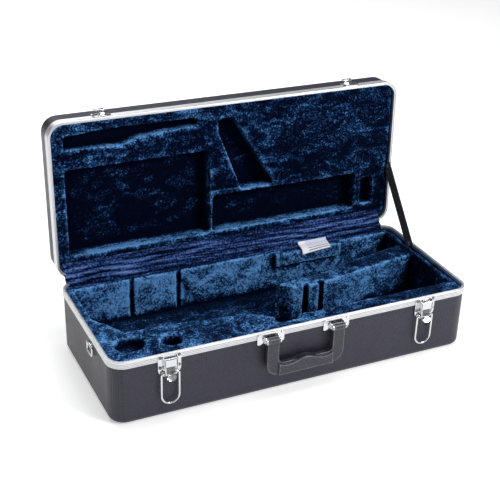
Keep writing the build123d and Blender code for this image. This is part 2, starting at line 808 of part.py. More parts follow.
for x, side in zip(latch_positions, ("left", "right")):
    keep(latch_base(x), f"latch_base_{side}")
    keep(latch_lever(x), f"latch_lever_{side}")
    keep(latch_bail(x), f"latch_bail_{side}")
    pin_half = cheek_gap_half + cheek_thickness + 0.8
    with BuildPart() as latch_pin:
        with BuildSketch(side_plane(x + pin_half)):
            with Locations(lever_pivot):
                Circle(lever_pin_radius)
        extrude(amount=2 * pin_half)
    keep(latch_pin.part, f"latch_pin_{side}")
    keep(swing_open(strike_plate(x)), f"strike_plate_{side}")
    rivets(f"strike_rivets_{side}", front, strike_rivets(x), plate_thickness, shell_depth, True)

for x, side in zip(latch_positions, ("left", "right")):
    with BuildPart() as latch_rivets:
        for points, grip in ((latch_high_rivets(x), rim_width), (latch_low_rivets(x), shell_depth)):
            with BuildSketch(front.offset(plate_thickness)):
                with Locations(*points):
                    Circle(rivet_head_radius)
            extrude(amount=rivet_head_height)
            with BuildSketch(front.offset(plate_thickness)):
                with Locations(*points):
                    Circle(rivet_radius)
            extrude(amount=-(plate_thickness + grip))
            with BuildSketch(front.offset(-grip)):
                with Locations(*points):
                    Circle(rivet_upset_radius)
            extrude(amount=-rivet_upset_height)
        fillet(latch_rivets.edges().group_by(Axis.Y)[0], rivet_head_height * 0.8)
    keep(latch_rivets.part, f"latch_rivets_{side}")

# Handle: one moulding, two flat arms and a thicker grip with finger waves
pivot_z = body_height - handle_pivot_drop
arm_inner = handle_half_width - arm_width
grip_top = handle_bottom + grip_height
with BuildPart() as handle:
    with BuildSketch(front.offset(handle_pivot_reach - arm_thickness / 2)) as frame_sketch:
        with Locations((0, (pivot_z + handle_bottom) / 2)):
            Rectangle(2 * handle_half_width, pivot_z - handle_bottom)
        fillet(frame_sketch.vertices().group_by(Axis.Y)[0], handle_corner)
        with Locations((0, grip_top + case_width / 2)):
            RectangleRounded(2 * arm_inner, case_width, 12, mode=Mode.SUBTRACT)
    extrude(amount=arm_thickness)
    with BuildSketch(front.offset(handle_pivot_reach - grip_thickness / 2)):
        with BuildLine():
            base_line = Polyline(
                (-arm_inner, grip_top),
                (-arm_inner, handle_bottom),
                (arm_inner, handle_bottom),
                (arm_inner, grip_top),
            )
            Spline(
                base_line @ 1,
                (arm_inner / 2, grip_top - grip_wave),
                (0, grip_top + grip_wave),
                (-arm_inner / 2, grip_top - grip_wave),
                base_line @ 0,
            )
        make_face()
    extrude(amount=grip_thickness)
    for s in (-1, 1):
        with BuildSketch(side_plane(s * handle_centre + arm_width / 2)):
            with Locations((handle_pivot_reach, pivot_z)):
                Circle(handle_barrel_radius)
        extrude(amount=arm_width)
    with BuildSketch(side_plane(handle_half_width)):
        with Locations((handle_pivot_reach, pivot_z)):
            Circle(handle_pin_radius + running_fit)
    extrude(amount=2 * handle_half_width, mode=Mode.SUBTRACT)
keep(handle.part, "handle")


def handle_bracket(x):
    """A riveted plate with two ears that carry one arm's pin."""
    ear_inner = arm_width / 2 + bracket_ear_gap
    with BuildPart() as bracket:
        with BuildSketch(front):
            with Locations((x, latch_top - bracket_height / 2)):
                RectangleRounded(bracket_width, bracket_height, 4)
        extrude(amount=bracket_thickness)
        for s in (-1, 1):
            start = x + max(s * ear_inner, s * (ear_inner + bracket_ear))
            with BuildSketch(side_plane(start)):
                with Locations((handle_pivot_reach, pivot_z)):
                    Circle(handle_barrel_radius - 1)
                with Locations(((bracket_thickness + handle_pivot_reach) / 2, pivot_z)):
                    Rectangle(handle_pivot_reach - bracket_thickness, 2 * handle_barrel_radius - 2)
                with Locations((handle_pivot_reach, pivot_z)):
                    Circle(handle_pin_radius + running_fit, mode=Mode.SUBTRACT)
            extrude(amount=bracket_ear)
        drill(front.offset(5), bracket_rivets(x), rivet_hole, 10)
    return bracket.part


for s, side in ((-1, "left"), (1, "right")):
    x = s * handle_centre
    keep(handle_bracket(x), f"handle_bracket_{side}")
    pin_half = arm_width / 2 + bracket_ear_gap + bracket_ear + 1.0
    with BuildPart() as handle_pin:
        with BuildSketch(side_plane(x + pin_half)):
            with Locations((handle_pivot_reach, pivot_z)):
                Circle(handle_pin_radius)
        extrude(amount=2 * pin_half)
    keep(handle_pin.part, f"handle_pin_{side}")
    rivets(f"handle_rivets_{side}", front, bracket_rivets(x), bracket_thickness, rim_width)


# Strap rings: a wire ring in a rolled keeper at each end of the case
def end_side_plane(plane, across):
    """A plane square to an end wall, with its first axis pointing out of the wall."""
    return Plane(
        origin=plane.origin + plane.x_dir * across,
        x_dir=plane.z_dir,
        z_dir=plane.z_dir.cross(Vector(0, 0, 1)),
    )


for plane, side, across, holes in (
    (left_end, "left", -ring_position, ring_holes_left),
    (right_end, "right", ring_position, ring_holes_right),
):
    wall = plane.offset(-shell_inset)
    reach = ring_pivot_reach
    keeper_half = ring_plate_width / 2
    with BuildPart() as ring_keeper:
        with BuildSketch(wall):
            with Locations((across, ring_pivot_height - 4)):
                RectangleRounded(ring_plate_width, ring_plate_height - 10, 3)
        extrude(amount=plate_thickness)
        roll = end_side_plane(wall, across)
        with BuildSketch(roll.offset(-keeper_half)):
            with Locations((reach, ring_pivot_height)):
                Circle(ring_wire_radius + running_fit + 1.2)
            with Locations((reach / 2, ring_pivot_height)):
                Rectangle(reach, 2 * ring_wire_radius)
            with Locations((reach, ring_pivot_height)):
                Circle(ring_wire_radius + running_fit, mode=Mode.SUBTRACT)
        extrude(amount=2 * keeper_half)
        drill(wall.offset(8), holes, rivet_hole, 12)
    keep(ring_keeper.part, f"ring_keeper_{side}")
    ring_plane = Plane(
        origin=wall.origin + wall.x_dir * across + wall.z_dir * reach + Vector(0, 0, ring_pivot_height),
        x_dir=wall.x_dir,
        z_dir=wall.z_dir,
    )
    with BuildPart() as strap_ring:
        with BuildLine(ring_plane) as ring_path:
            bar = Line((0, 0), (-ring_half_width + 3, 0))
            first = JernArc(bar @ 1, bar % 1, 3, 90)
            fall = Line(first @ 1, (-ring_half_width, -ring_drop + ring_corner))
            second = JernArc(fall @ 1, fall % 1, ring_corner, 90)
            foot = Line(second @ 1, (ring_half_width - ring_corner, -ring_drop))
            third = JernArc(foot @ 1, foot % 1, ring_corner, 90)
            rise = Line(third @ 1, (ring_half_width, -3))
            fourth = JernArc(rise @ 1, rise % 1, 3, 90)
            Line(fourth @ 1, (0, 0))
        with BuildSketch(Plane(origin=bar @ 0, z_dir=bar % 0)):
            Circle(ring_wire_radius)
        sweep()
    keep(strap_ring.part, f"strap_ring_{side}")
    rivets(f"ring_rivets_{side}", wall, holes, plate_thickness, shell_wall)
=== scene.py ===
import bpy
import bmesh
import math
import numpy as np
from mathutils import Matrix, Vector


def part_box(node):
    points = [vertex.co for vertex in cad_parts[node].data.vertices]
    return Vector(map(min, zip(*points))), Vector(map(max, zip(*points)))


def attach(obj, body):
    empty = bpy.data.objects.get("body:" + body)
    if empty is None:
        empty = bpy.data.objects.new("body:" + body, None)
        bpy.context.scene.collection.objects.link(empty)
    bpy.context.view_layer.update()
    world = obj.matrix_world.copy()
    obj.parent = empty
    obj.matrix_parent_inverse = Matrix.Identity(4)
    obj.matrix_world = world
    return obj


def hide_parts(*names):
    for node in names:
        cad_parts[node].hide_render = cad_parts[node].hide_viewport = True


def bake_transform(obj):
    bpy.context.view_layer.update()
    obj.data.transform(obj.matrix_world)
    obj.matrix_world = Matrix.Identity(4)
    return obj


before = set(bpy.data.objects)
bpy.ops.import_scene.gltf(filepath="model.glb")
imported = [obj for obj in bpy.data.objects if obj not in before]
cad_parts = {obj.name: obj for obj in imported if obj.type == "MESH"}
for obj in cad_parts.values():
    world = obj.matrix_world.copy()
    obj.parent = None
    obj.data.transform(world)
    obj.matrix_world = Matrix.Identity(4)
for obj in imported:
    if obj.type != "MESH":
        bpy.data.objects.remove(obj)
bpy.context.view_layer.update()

# The camera stands to the left of the front, a little over two metres away and well above the rim,
# as it did for the photograph. It is tipped very slightly, and looks at a point just over the rim.
camera_turn = math.radians(-26.71)
camera_height = math.radians(28.61)
camera_tip = math.radians(2.29)
camera_distance = 2.3095
looked_at = Vector((0.0, 0.0, 0.155))
back = Vector((
    math.sin(camera_turn) * math.cos(camera_height),
    -math.cos(camera_turn) * math.cos(camera_height),
    math.sin(camera_height),
))
level = Vector((math.cos(camera_turn), math.sin(camera_turn), 0.0))
upright = back.cross(level)
across = level * math.cos(camera_tip) + upright * math.sin(camera_tip)
above = upright * math.cos(camera_tip) - level * math.sin(camera_tip)
lens = bpy.data.cameras.new("studio_camera")
lens.sensor_width = 36.0
lens.lens = 77.25
lens.shift_x = -0.0345
lens.shift_y = 0.0626
camera = bpy.data.objects.new("studio_camera", lens)
bpy.context.collection.objects.link(camera)
camera.matrix_world = Matrix.Translation(looked_at + back * camera_distance) @ Matrix(
    (across, above, back)
).transposed().to_4x4()
bpy.context.scene.camera = camera

# The studio: a broad pale floor, a bright even surround, and three large soft lamps. The strongest
# stands over the front right, so that the latches and the valances catch it. One hangs straight
# above, and one lights the floor behind the case.
floor_mesh = bpy.data.meshes.new("studio_floor")
floor_reach = 6.0
floor_mesh.from_pydata(
    [(-floor_reach, -floor_reach, 0), (floor_reach, -floor_reach, 0),
     (floor_reach, floor_reach, 0), (-floor_reach, floor_reach, 0)],
    [], [(0, 1, 2, 3)],
)
floor = bpy.data.objects.new("studio_floor", floor_mesh)
bpy.context.collection.objects.link(floor)
paper = bpy.data.materials.new("studio_paper")
paper.use_nodes = True
paper_shader = paper.node_tree.nodes["Principled BSDF"]
paper_shader.inputs["Base Color"].default_value = (0.93, 0.93, 0.93, 1)
paper_shader.inputs["Roughness"].default_value = 0.9
paper_shader.inputs["Specular IOR Level"].default_value = 0.1
paper_shader.inputs["Emission Color"].default_value = (1, 1, 1, 1)
paper_shader.inputs["Emission Strength"].default_value = 0.40
floor_mesh.materials.append(paper)

surround = bpy.data.worlds.new("studio_surround")
surround.use_nodes = True
surround_nodes, surround_links = surround.node_tree.nodes, surround.node_tree.links
surround_way = surround_nodes.new("ShaderNodeTexCoord")
surround_axes = surround_nodes.new("ShaderNodeSeparateXYZ")
surround_links.new(surround_way.outputs["Generated"], surround_axes.inputs["Vector"])
surround_ramp = surround_nodes.new("ShaderNodeValToRGB")
surround_links.new(surround_axes.outputs["Z"], surround_ramp.inputs["Fac"])
surround_ramp.color_ramp.elements[0].position = 0.0
surround_ramp.color_ramp.elements[0].color = (0.10, 0.10, 0.11, 1)
surround_ramp.color_ramp.elements[1].position = 0.75
surround_ramp.color_ramp.elements[1].color = (1.0, 1.0, 1.0, 1)
surround_back = surround_nodes["Background"]
surround_links.new(surround_ramp.outputs["Color"], surround_back.inputs["Color"])
surround_back.inputs["Strength"].default_value = 0.36
bpy.context.scene.world = surround
bpy.context.scene.view_settings.view_transform = "Standard"


def soft_lamp(name, place, aim, size, watts):
    """A square soft box at a place, turned to face a point."""
    lamp = bpy.data.lights.new(name, "AREA")
    lamp.shape = "SQUARE"
    lamp.size = size
    lamp.energy = watts
    holder = bpy.data.objects.new(name, lamp)
    holder.location = place
    holder.rotation_euler = (Vector(aim) - Vector(place)).to_track_quat("-Z", "Y").to_euler()
    bpy.context.collection.objects.link(holder)


soft_lamp("key_lamp", (1.5, -2.1, 2.0), aim=(0, 0.1, 0.15), size=0.9, watts=55)
soft_lamp("top_lamp", (0.2, 0.1, 2.8), aim=(0, 0, 0.15), size=1.2, watts=19)
soft_lamp("floor_lamp", (-0.4, 2.2, 2.5), aim=(-0.2, 1.1, 0), size=2.0, watts=46)

# Two shells of black plastic sheet, drawn over a mould. The sheet is embossed all over with small
# close cells, which keep it semi-matte, and is a little smoother where it was stretched thinnest.
def finish(name, colour, roughness, metallic=0.0):
    """A new material, with its even values set on its shader."""
    made = bpy.data.materials.new(name)
    made.use_nodes = True
    shader = made.node_tree.nodes["Principled BSDF"]
    shader.inputs["Base Color"].default_value = (*colour, 1)
    shader.inputs["Roughness"].default_value = roughness
    shader.inputs["Metallic"].default_value = metallic
    return made, shader


def add(made, kind, **values):
    """A node of a material, with the values of its sockets."""
    node = made.node_tree.nodes.new(kind)
    for socket, value in values.items():
        node.inputs[socket.replace("_", " ")].default_value = value
    return node


def join(made, source, outlet, target, inlet):
    """A link between two nodes of a material."""
    made.node_tree.links.new(source.outputs[outlet], target.inputs[inlet])


def clouds(made, chart=None, outlet="Object", **values):
    """Noise over a surface, laid out by a chart of it, or else in the object's own space."""
    noise = add(made, "ShaderNodeTexNoise", **values)
    join(made, chart or add(made, "ShaderNodeTexCoord"), outlet, noise, "Vector")
    return noise


def ranged(made, source, outlet, low, high, least=0.0, most=1.0):
    """A value taken from one range to another, and held at both ends."""
    taken = add(
        made, "ShaderNodeMapRange", From_Min=low, From_Max=high, To_Min=least, To_Max=most
    )
    join(made, source, outlet, taken, "Value")
    return taken


def glossed(made, shader, source, low, high, smooth, rough):
    """Roughness that drifts with a texture."""
    drift = ranged(made, source, "Fac", low, high, smooth, rough)
    join(made, drift, "Result", shader, "Roughness")


def shades(made, source, outlet, stops):
    """A colour ramp fed by a texture, with its stops as place and colour."""
    ramp = add(made, "ShaderNodeValToRGB")
    while len(ramp.color_ramp.elements) < len(stops):
        ramp.color_ramp.elements.new(0.5)
    for mark, (place, colour) in zip(ramp.color_ramp.elements, stops):
        mark.position = place
        mark.color = (*colour, 1)
    join(made, source, outlet, ramp, "Fac")
    return ramp


def coloured(made, shader, source, outlet, stops):
    """The surface's colour, from a ramp fed by a texture."""
    join(made, shades(made, source, outlet, stops), "Color", shader, "Base Color")


def relief(made, shader, source, outlet, strength, depth):
    """Bumps on a material's surface, from a texture."""
    bump = add(made, "ShaderNodeBump", Strength=strength, Distance=depth)
    join(made, source, outlet, bump, "Height")
    join(made, bump, "Normal", shader, "Normal")


def embossed(name, turn):
    """Black plastic sheet with embossed cells, whose rows follow a shell that is turned about X."""
    row_offset = 0.00185
    made, shader = finish(name, (0.017, 0.017, 0.028), roughness=0.42)
    shader.inputs["Specular IOR Level"].default_value = 0.43
    place = add(made, "ShaderNodeTexCoord")
    squared = add(
        made, "ShaderNodeMapping", Rotation=(turn, 0, 0), Location=(0, row_offset, 0)
    )
    join(made, place, "Object", squared, "Vector")
    cells = add(made, "ShaderNodeTexVoronoi", Scale=270.0, Randomness=0.3)
    join(made, squared, "Vector", cells, "Vector")
    relief(made, shader, cells, "Distance", strength=0.8, depth=0.0012)
    coloured(made, shader, cells, "Distance", [
        (0.10, (0.034, 0.032, 0.058)), (0.70, (0.010, 0.009, 0.021)),
    ])
    stretch = clouds(made, place, Scale=9.0, Detail=4.0)
    glossed(made, shader, stretch, 0.3, 0.7, smooth=0.36, rough=0.48)
    return made


def coat(thing, material):
    """One material all over a piece or a node."""
    thing.data.materials.clear()
    thing.data.materials.append(material)


lid_open = math.radians(92.0)
coat(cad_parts["bottom_shell"], embossed("embossed_black_plastic", 0.0))
coat(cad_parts["lid_shell"], embossed("embossed_black_lid_plastic", lid_open))

# Two valances, extruded aluminium channels bent round the rims and closed at the back. Each grips
# its shell with a fluted outer face; the lower one has a tongue that enters the lid's groove.
mm = 0.001
case_half_length = 410.0
case_half_width = 174.0
case_corner = 35.0
rim = 145.0
flute_depth = 0.3
hinge_line = Vector((0.0, 178.5 * mm, rim * mm))
lid_swing = (
    Matrix.Translation(hinge_line) @ Matrix.Rotation(-lid_open, 4, "X")
    @ Matrix.Translation(-hinge_line)
)


def piece(name, mesh, body):
    """A finished mesh as a piece that rides on a body."""
    made = bpy.data.objects.new(name, mesh)
    bpy.context.collection.objects.link(made)
    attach(made, body)
    return made


def lengths(line, unit=1.0):
    """How far each point of a line lies along it."""
    run = [0.0]
    for here, after in zip(line, line[1:]):
        run.append(run[-1] + math.dist(here, after) * unit)
    return run


def bent_channel(name, section, open_lid):
    """An extruded section bent round the case's plan: points of inset and height, both in mm."""
    corner_steps, straight_step = 12, 24
    corners = []
    for turn in range(4):
        centre_x = (case_half_length - case_corner) * (1 if turn in (0, 3) else -1)
        centre_y = (case_half_width - case_corner) * (1 if turn in (0, 1) else -1)
        for step in range(corner_steps + 1):
            a = math.radians(90 * turn + 90 * step / corner_steps)
            corners.append((centre_x, centre_y, math.cos(a), math.sin(a)))
    walk = []
    for here, after in zip(corners, corners[1:] + corners[:1]):
        walk.append(here)
        steps = int(math.dist(here[:2], after[:2]) / straight_step)
        for k in range(1, steps):
            t = k / steps
            walk.append(tuple(p + (q - p) * t for p, q in zip(here, after)))
    count, turns = len(section), len(walk)
    mesh = bpy.data.meshes.new(name)
    mesh.from_pydata([
        ((x + nx * (case_corner - inset)) * mm, (y + ny * (case_corner - inset)) * mm, z * mm)
        for x, y, nx, ny in walk for inset, z in section
    ], [], [
        (i * count + j, i * count + (j + 1) % count,
         (i + 1) % turns * count + (j + 1) % count, (i + 1) % turns * count + j)
        for i in range(turns) for j in range(count)
    ])
    closed = section + section[:1]
    in_flute = [min(p[0], q[0]) == flute_depth for p, q in zip(section, closed[1:])]
    outline = [(x + nx * case_corner, y + ny * case_corner) for x, y, nx, ny in walk]
    run, girth = lengths(outline + outline[:1], mm), lengths(closed, mm)
    chart = mesh.uv_layers.new(name="run")
    for i in range(turns):
        for j in range(count):
            face = i * count + j
            mesh.polygons[face].material_index = int(in_flute[j])
            places = ((run[i], girth[j]), (run[i], girth[j + 1]),
                      (run[i + 1], girth[j + 1]), (run[i + 1], girth[j]))
            for k, place in enumerate(places):
                chart.data[face * 4 + k].uv = place
    if open_lid:
        mesh.transform(lid_swing)
    cleaner = bmesh.new()
    cleaner.from_mesh(mesh)
    bmesh.ops.recalc_face_normals(cleaner, faces=cleaner.faces)
    cleaner.to_mesh(mesh)
    cleaner.free()
    mesh.shade_smooth()
    mesh.set_sharp_from_angle(angle=math.radians(50))
    return mesh


bright_aluminium, aluminium_shader = finish(
    "fluted_aluminium", (0.75, 0.76, 0.78), roughness=0.4, metallic=0.85
)
aluminium_run = add(bright_aluminium, "ShaderNodeUVMap")
aluminium_stretch = add(bright_aluminium, "ShaderNodeMapping", Scale=(6.0, 2600.0, 1.0))
join(bright_aluminium, aluminium_run, "UV", aluminium_stretch, "Vector")
aluminium_lines = clouds(bright_aluminium, aluminium_stretch, "Vector", Scale=1.0, Detail=3.0)
relief(
    bright_aluminium, aluminium_shader, aluminium_lines, "Fac", strength=0.25, depth=0.0002
)
glossed(bright_aluminium, aluminium_shader, aluminium_lines, 0.3, 0.7, smooth=0.3, rough=0.5)

# The flutes' floors take a darker, dusty material: painted shade in the grooves, with some grime.
flute_grime_and_shade, flute_shader = finish(
    "flute_grime_and_shade", (0.16, 0.16, 0.17), roughness=0.5, metallic=0.6
)
flute_dust = clouds(flute_grime_and_shade, Scale=60.0, Detail=4.0)
coloured(flute_grime_and_shade, flute_shader, flute_dust, "Fac", [
    (0.3, (0.16, 0.16, 0.17)), (0.7, (0.34, 0.34, 0.35)),
])
relief(flute_grime_and_shade, flute_shader, flute_dust, "Fac", strength=0.2, depth=0.0002)


def fluted_face(low, high, flutes):
    """The outer face of a valance, from its low edge up: flat lands with shallow flutes between."""
    mouth_half, floor_half = 0.75, 0.35
    face = [(0.55, low), (0.1, low + 0.35), (0.0, low + 0.9)]
    for z in flutes:
        face += [(0.0, z - mouth_half), (flute_depth, z - floor_half),
                 (flute_depth, z + floor_half), (0.0, z + mouth_half)]
    return face + [(0.0, high - 1.3), (0.35, high - 0.4), (1.2, high)]


lower_section = [(inset, rim + z) for inset, z in fluted_face(-15.0, 0.0, (-12.0, -8.5, -5.0)) + [
    (2.1, 0.0), (2.3, 0.25), (2.3, 0.95), (2.55, 1.2), (3.65, 1.2), (3.9, 0.95),
    (3.9, 0.25), (4.1, 0.0), (5.1, 0.0), (5.9, -0.3), (6.2, -1.0),
    (6.2, -8.7), (5.9, -9.0), (4.9, -9.0), (4.7, -8.7), (4.7, -1.6), (1.5, -1.6), (1.5, -15.0),
]]
upper_top = rim + 20.3
upper_section = [(inset, upper_top - z) for inset, z in fluted_face(0.0, 20.0, (4.0, 8.0, 12.0)) + [
    (1.95, 20.0), (1.95, 18.5), (4.25, 18.5), (4.25, 20.0), (5.1, 20.0), (5.9, 19.7),
    (6.2, 19.0), (6.2, 11.3), (5.9, 11.0), (4.9, 11.0), (4.7, 11.3), (4.7, 17.0), (1.5, 17.0),
    (1.5, 0.0),
]]
for name, section, on_lid, body, node in (
    ("lower_channel", lower_section, False, "case_body", "lower_valance"),
    ("upper_channel", upper_section, True, "lid", "upper_valance"),
):
    channel = piece(name, bent_channel(name, section, on_lid), body)
    channel.data.materials.append(bright_aluminium)
    channel.data.materials.append(flute_grime_and_shade)
    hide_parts(node)

# Two blocks of foam moulded round the instrument and covered in deep-pile navy plush, glued down
# into the pockets. The pile is crushed this way and that, so it is mottled light and dark. Over an
# edge it carries a painted highlight, and in hollows and on pockets' floors painted shade; each
# side is painted lighter or darker by the way it faces.
def along(made, source, outlet, way):
    """How far a place lies, or a surface faces, along a direction."""
    dot = add(made, "ShaderNodeVectorMath")
    dot.operation = "DOT_PRODUCT"
    dot.inputs[1].default_value = way
    join(made, source, outlet, dot, "Vector")
    return dot


def scaled_sum(made, source, outlet, gain, base, base_outlet):
    """One value times a gain, added to another."""
    total = add(made, "ShaderNodeMath")
    total.operation = "MULTIPLY_ADD"
    join(made, source, outlet, total, 0)
    total.inputs[1].default_value = gain
    join(made, base, base_outlet, total, 2)
    return total


def plush(name, colours, patches_per_metre, crests, facing_light, pocket=None, right_end_darkening=0.0):
    """Deep-pile plush: crushed patches and fine tufts, with a painted highlight on its crests and
    painted light and shade on each side by the way it faces.

    A pocket's floor is painted darker, as painted shade. A pocket is given as the way into it, and
    how far along that way its face and its floor lie. The pile is also darker towards the right
    end.
    """
    facing_light_gain, pocket_floor_shade_gain = 0.06, -0.042
    made, shader = finish(name, colours[2][1], roughness=0.8)
    shader.inputs["Specular IOR Level"].default_value = 0.02
    shader.inputs["Sheen Weight"].default_value = 0.10
    shader.inputs["Sheen Roughness"].default_value = 0.35
    shader.inputs["Sheen Tint"].default_value = (0.16, 0.42, 1.0, 1)
    place = add(made, "ShaderNodeTexCoord")
    spread = add(made, "ShaderNodeMapping", Scale=patches_per_metre)
    join(made, place, "Object", spread, "Vector")
    patches = clouds(
        made, spread, "Vector", Scale=1.0, Detail=5.0, Roughness=0.62, Distortion=1.4
    )
    tufts = clouds(made, place, Scale=250.0, Detail=2.0, Roughness=0.7)
    both = add(made, "ShaderNodeMix", Factor=0.49)
    join(made, patches, "Fac", both, "A")
    join(made, tufts, "Fac", both, "B")
    # The crest mark adds a painted highlight over edges and, on the paddings, painted shade in
    # hollows.
    crest = add(made, "ShaderNodeAttribute")
    crest.attribute_name = "painted_crest_and_hollow_light"
    pile = scaled_sum(made, crest, "Fac", crests, both, "Result")
    # Painted light and shade: each side of the pile is lighter or darker by the way it faces.
    facing_light_amount = along(made, place, "Normal", facing_light)
    pile = scaled_sum(made, facing_light_amount, "Value", facing_light_gain, pile, "Value")
    # The pile is darker towards the right end.
    if right_end_darkening:
        rightward = along(made, place, "Object", (1, 0, 0))
        nearing = ranged(made, rightward, "Value", 0.0, 0.3)
        pile = scaled_sum(made, nearing, "Result", -right_end_darkening, pile, "Value")
    # Painted shade: the pile is darker the deeper it lies in a pocket, and the more it faces out of
    # it.
    if pocket:
        into, face, floor = pocket
        sunk = ranged(made, along(made, place, "Object", into), "Value", face, floor)
        facing = along(made, place, "Normal", [-a for a in into])
        on_floor = ranged(made, facing, "Value", 0.3, 0.95, 0.25, 1.0)
        pocket_floor_shade = add(made, "ShaderNodeMath")
        pocket_floor_shade.operation = "MULTIPLY"
        join(made, sunk, "Result", pocket_floor_shade, 0)
        join(made, on_floor, "Result", pocket_floor_shade, 1)
        pile = scaled_sum(made, pocket_floor_shade, "Value", pocket_floor_shade_gain, pile, "Value")
    coloured(made, shader, pile, "Value", colours)
    relief(made, shader, tufts, "Fac", strength=0.8, depth=0.005)
    return made


def marked_for_painted_light(mesh, reach, hollow_reach=0):
    """Marks how far each point stands proud of the ironed-out surface.

    The painted highlight on the pile's crests and on the handle's edges follows this mark. A longer
    reach marks the hollows as well, where the pile is painted dark, as painted shade.
    """
    full_crest, full_hollow, deepest = 0.004, 0.0075, 1.5
    count = len(mesh.vertices)
    places = np.empty(count * 3)
    mesh.vertices.foreach_get("co", places)
    places = places.reshape(-1, 3)
    normals = np.empty(count * 3)
    mesh.vertices.foreach_get("normal", normals)
    ends = np.empty(len(mesh.edges) * 2, dtype=np.int64)
    mesh.edges.foreach_get("vertices", ends)
    ends = ends.reshape(-1, 2)
    here = np.concatenate((ends[:, 0], ends[:, 1]))
    there = np.concatenate((ends[:, 1], ends[:, 0]))
    shares = np.bincount(here, minlength=count)
    ironed = places
    for step in range(1, max(reach, hollow_reach) + 1):
        ironed = np.stack([
            np.bincount(here, weights=ironed[there, k], minlength=count) / shares for k in range(3)
        ], axis=1)
        if step == reach:
            proud = ((places - ironed) * normals.reshape(-1, 3)).sum(axis=1)
    crests = np.clip(proud / full_crest, -1, 1)
    # Painted shade: the hollows are marked dark.
    if hollow_reach:
        sunk = ((places - ironed) * normals.reshape(-1, 3)).sum(axis=1)
        crests += np.clip(sunk / full_hollow, -deepest, 0)
    mark = mesh.attributes.new("painted_crest_and_hollow_light", "FLOAT", "POINT")
    mark.data.foreach_set("value", crests.astype(np.float32))
    return mesh


navy_colours = [
    (0.425, (0.0005, 0.0022, 0.012)),
    (0.475, (0.0035, 0.016, 0.060)),
    (0.53, (0.020, 0.078, 0.215)),
    (0.625, (0.140, 0.385, 0.82)),
]


def worked(name, mesh, *steps):
    """A mesh taken through modifiers, each a kind and its settings, and returned as a new mesh."""
    holder = bpy.data.objects.new(name, mesh)
    bpy.context.collection.objects.link(holder)
    for kind, settings in steps:
        step = holder.modifiers.new(kind.lower(), kind)
        for setting, value in settings.items():
            setattr(step, setting, value)
    bpy.context.view_layer.update()
    seen = holder.evaluated_get(bpy.context.evaluated_depsgraph_get())
    result = bpy.data.meshes.new_from_object(seen)
    bpy.data.objects.remove(holder)
    result.name = name
    return result


def solid_copy(node):
    """A node's mesh as one closed skin."""
    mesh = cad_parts[node].data.copy()
    joiner = bmesh.new()
    joiner.from_mesh(mesh)
    bmesh.ops.remove_doubles(joiner, verts=joiner.verts, dist=2e-5)
    bmesh.ops.recalc_face_normals(joiner, faces=joiner.faces)
    joiner.to_mesh(mesh)
    joiner.free()
    return mesh


def lumps(name, size):
    """A cloud texture that pushes a surface in and out."""
    made = bpy.data.textures.new(name, "CLOUDS")
    made.noise_scale = size
    made.noise_depth = 2
    return made


surface_lumps = (
    (lumps("foam_swells", 0.075), 0.0035, 0.55),
    (lumps("pile_ruffles", 0.013), 0.0030, 0.5),
    (lumps("pile_tufts", 0.0055), 0.0016, 0.5),
)
crest_reach, hollow_reach = 14, 110
lid_tilt = math.radians(2.0)
paddings = (
    ("body_padding", "lower_insert", "case_body", plush(
        "navy_plush_of_the_body", navy_colours, patches_per_metre=(19, 25, 22), crests=0.12,
        facing_light=(1.0, -1.1, -0.10), pocket=((0.0, 0.0, -1.0), -0.136, -0.075), right_end_darkening=0.042,
    )),
    ("lid_padding", "lid_insert", "lid", plush(
        "navy_plush_of_the_lid", navy_colours, patches_per_metre=(15, 30, 30), crests=0.14,
        facing_light=(0.2, 1.0, 1.15), right_end_darkening=0.018,
        pocket=((0.0, math.cos(lid_tilt), -math.sin(lid_tilt)), 0.184, 0.205),
    )),
)
for block, node, body, covering in paddings:
    moulded = marked_for_painted_light(worked(
        block, solid_copy(node),
        ("REMESH", {"mode": "VOXEL", "voxel_size": 0.0027, "use_smooth_shade": True}),
        ("SMOOTH", {"factor": 0.5, "iterations": 7}),
    ), crest_reach, hollow_reach)
    padding = piece(block, worked(block, moulded, *(
        ("DISPLACE", {"texture": texture, "strength": strength, "mid_level": middle,
                      "texture_coords": "LOCAL"})
        for texture, strength, middle in surface_lumps
    )), body)
    coat(padding, covering)
    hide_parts(node)

# A strip of violet-blue plush cloth, glued to both paddings and left slack over the hinge, where it
# lies in long soft folds.
def on_line(line, runs, run):
    """The place that lies some way along a line."""
    return [float(np.interp(run, runs, [point[k] for point in line])) for k in (0, 1)]


def sheeted(name, points, lines, spans):
    """A sheet's mesh, from points in lines side by side, each with the same number of spans."""
    mesh = bpy.data.meshes.new(name)
    mesh.from_pydata(points, [], [
        (i * (spans + 1) + j, (i + 1) * (spans + 1) + j,
         (i + 1) * (spans + 1) + j + 1, i * (spans + 1) + j + 1)
        for i in range(lines) for j in range(spans)
    ])
    return mesh


violet_plush = plush(
    "violet_plush_cloth",
    [
        (0.41, (0.0008, 0.0025, 0.015)),
        (0.47, (0.007, 0.020, 0.078)),
        (0.54, (0.030, 0.072, 0.235)),
        (0.64, (0.135, 0.250, 0.62)),
    ],
    patches_per_metre=(7, 45, 45), crests=0.42, facing_light=(0.0, 0.2, 0.0),
)

cover_left, cover_right = -396.0, 384.0
cover_line = [
    (153.0, -8.3), (157.0, -7.9), (162.0, -6.8), (166.0, -1.5), (169.5, 4.0),
    (173.5, 7.5), (177.2, 12.0), (183.0, 18.5), (186.2, 24.5), (186.8, 30.0), (187.3, 37.0),
]
cover_rows, cover_columns = 60, 320
cover_fold_pitch, cover_ripple_pitch, cover_fold_height = 13.5, 6.1, 1.9
cover_glued, cover_slack = 0.12, 0.80
cover_runs = lengths(cover_line)
cover_points = []
rng = np.random.default_rng(7)
fold_drift = rng.uniform(0, 2 * math.pi, 8)
